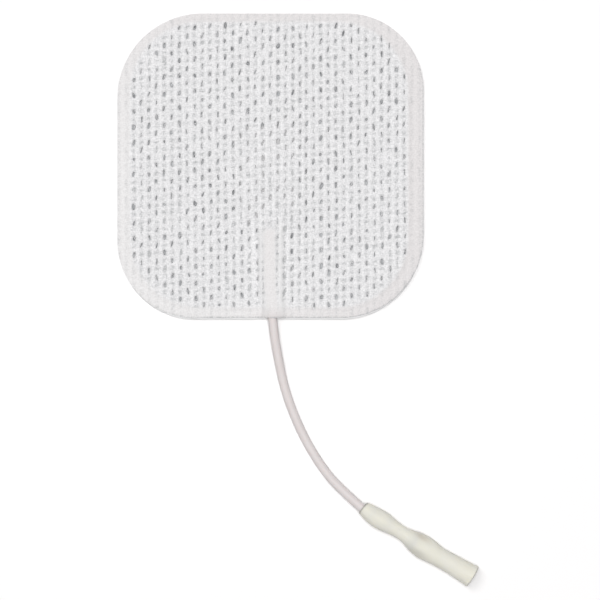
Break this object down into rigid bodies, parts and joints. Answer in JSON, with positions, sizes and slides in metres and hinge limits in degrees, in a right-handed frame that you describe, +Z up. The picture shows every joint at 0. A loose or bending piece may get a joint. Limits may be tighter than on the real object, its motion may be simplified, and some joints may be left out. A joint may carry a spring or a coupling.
{
  "type": "stimulation electrode pad",
  "caption": "Square self-adhesive skin electrode with rounded corners, apertured white cloth back, gel face and a short lead ending in a sleeved pin socket.",
  "frame": {"origin": "middle of the pad's skin face, on the surface it lies on", "axes": "+Z up out of the cloth side, +Y away from the edge that the lead leaves, +X to the right seen from above"},
  "size_m": [0.0589, 0.0936, 0.0039],
  "materials": {
    "hydrogel": "clear tacky hydrogel",
    "carbon_film": "matt carbon-loaded film",
    "patch_film": "thin insulating tape",
    "white_cloth": "ribbed, apertured non-woven cloth",
    "lead_insulation": "soft translucent insulation",
    "copper_strand": "tinned copper strands",
    "plated_brass": "nickel-plated rolled brass",
    "ivory_sleeve": "satin shrunk tube"
  },
  "bodies": {
    "root": {"hydrogel": "hydrogel", "carbon_film": "carbon_film", "lead_patch": "patch_film", "backing_cloth": "white_cloth", "lead_wire": "lead_insulation", "conductor_strand_1": "copper_strand", "conductor_strand_2": "copper_strand", "conductor_strand_3": "copper_strand", "conductor_strand_4": "copper_strand", "conductor_strand_5": "copper_strand", "conductor_strand_6": "copper_strand", "conductor_strand_7": "copper_strand", "conductor_tail": "copper_strand", "connector_socket": "plated_brass", "connector_sleeve": "ivory_sleeve"}
  },
  "joints": []
}
